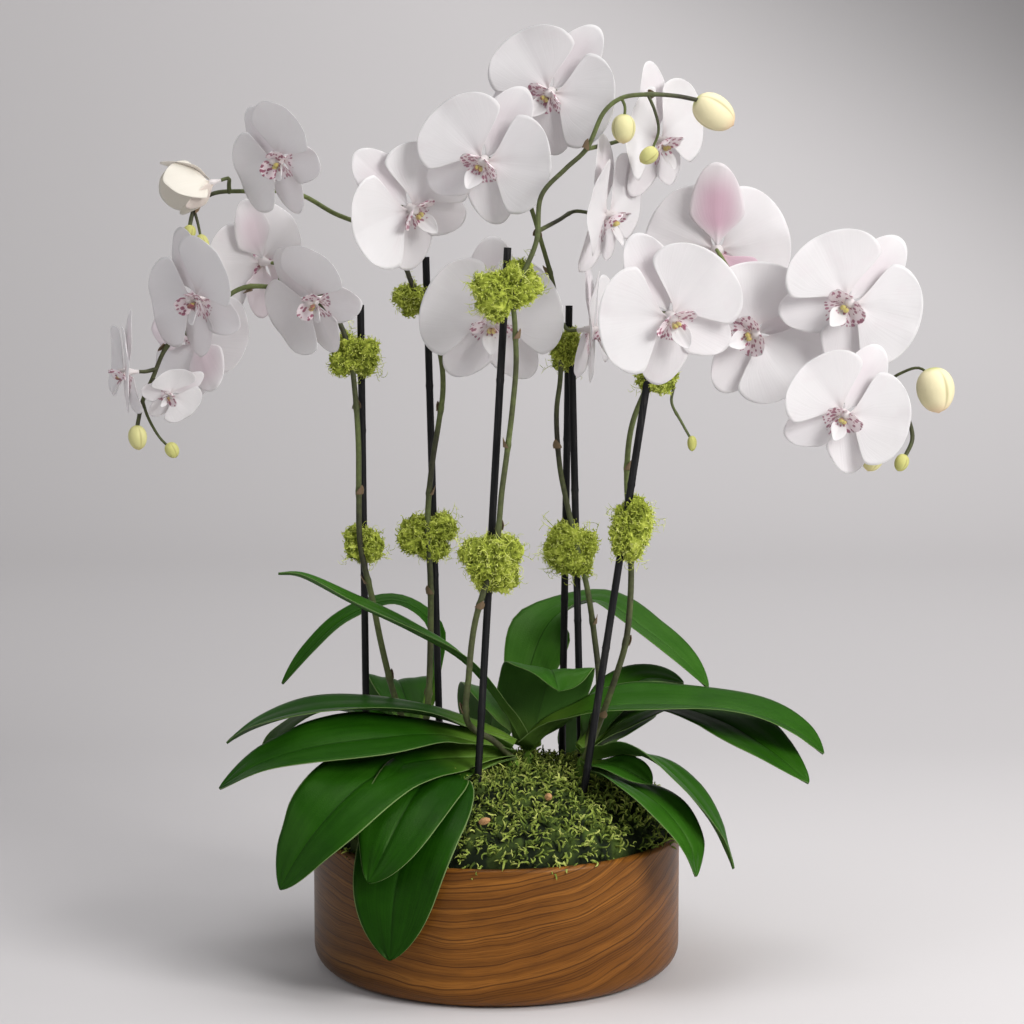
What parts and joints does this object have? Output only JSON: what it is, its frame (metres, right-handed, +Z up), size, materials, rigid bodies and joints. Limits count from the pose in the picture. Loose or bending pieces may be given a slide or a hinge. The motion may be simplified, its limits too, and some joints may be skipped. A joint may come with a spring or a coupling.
{
  "type": "moth orchid in wooden bowl",
  "caption": "White moth orchids on arching flower stems, staked with black bamboo and moss ties, planted under a moss bed in a low round turned wooden bowl.",
  "frame": {"origin": "centre of the flat underside of the bowl", "axes": "+Z up along the bowl's axis and the stakes, -Y to the front of the arrangement, +X to its right"},
  "size_m": [0.72, 0.3864, 0.8094],
  "materials": {
    "wood": "turned walnut-brown wood with dark flowing grain, oiled to a soft gloss",
    "liner": "thin black plastic tray",
    "bark": "chopped bark, rough and matt",
    "moss": "springy green sheet moss, matt",
    "clump": "yellow-green reindeer moss, matt and branching",
    "leaf": "thick glossy deep green leaf, paler margin and underside",
    "stem": "smooth olive green flower stem with darker stretches, buds cream to green",
    "stake": "black-stained thin bamboo, satin",
    "petal": "thin white petal, faintly pink at the sepals, with purple spots and yellow at the lip"
  },
  "bodies": {
    "root": {"bowl": "wood", "liner": "liner", "bark_mix": "bark", "moss_bed": "moss", "stake_a": "stake", "stake_b": "stake", "stake_c": "stake", "stake_d_left": "stake", "stake_d_right": "stake", "stake_e": "stake", "plant_front": "leaf", "plant_middle": "leaf", "plant_right": "leaf", "plant_back": "leaf", "stem_a": "stem", "stem_b": "stem", "stem_c": "stem", "stem_d": "stem", "stem_e": "stem", "clump_a_low": "clump", "clump_a_high": "clump", "clump_b_low": "clump", "clump_b_high": "clump", "clump_c_low": "clump", "clump_c_high": "clump", "clump_d_low": "clump", "clump_d_high": "clump", "clump_e_low": "clump", "clump_e_high": "clump", "bloom_a1": "petal", "bloom_a2": "petal", "bloom_a3": "petal", "bloom_a4": "petal", "bloom_a5": "petal", "bloom_a6": "petal", "bloom_b1": "petal", "bloom_b2": "petal", "bloom_b3": "petal", "bloom_b4": "petal", "bloom_c1": "petal", "bloom_c2": "petal", "bloom_d1": "petal", "bloom_d2": "petal", "bloom_d3": "petal", "bloom_e1": "petal", "bloom_e2": "petal", "bloom_e3": "petal", "bloom_e4": "petal", "bloom_e5": "petal"}
  },
  "joints": []
}
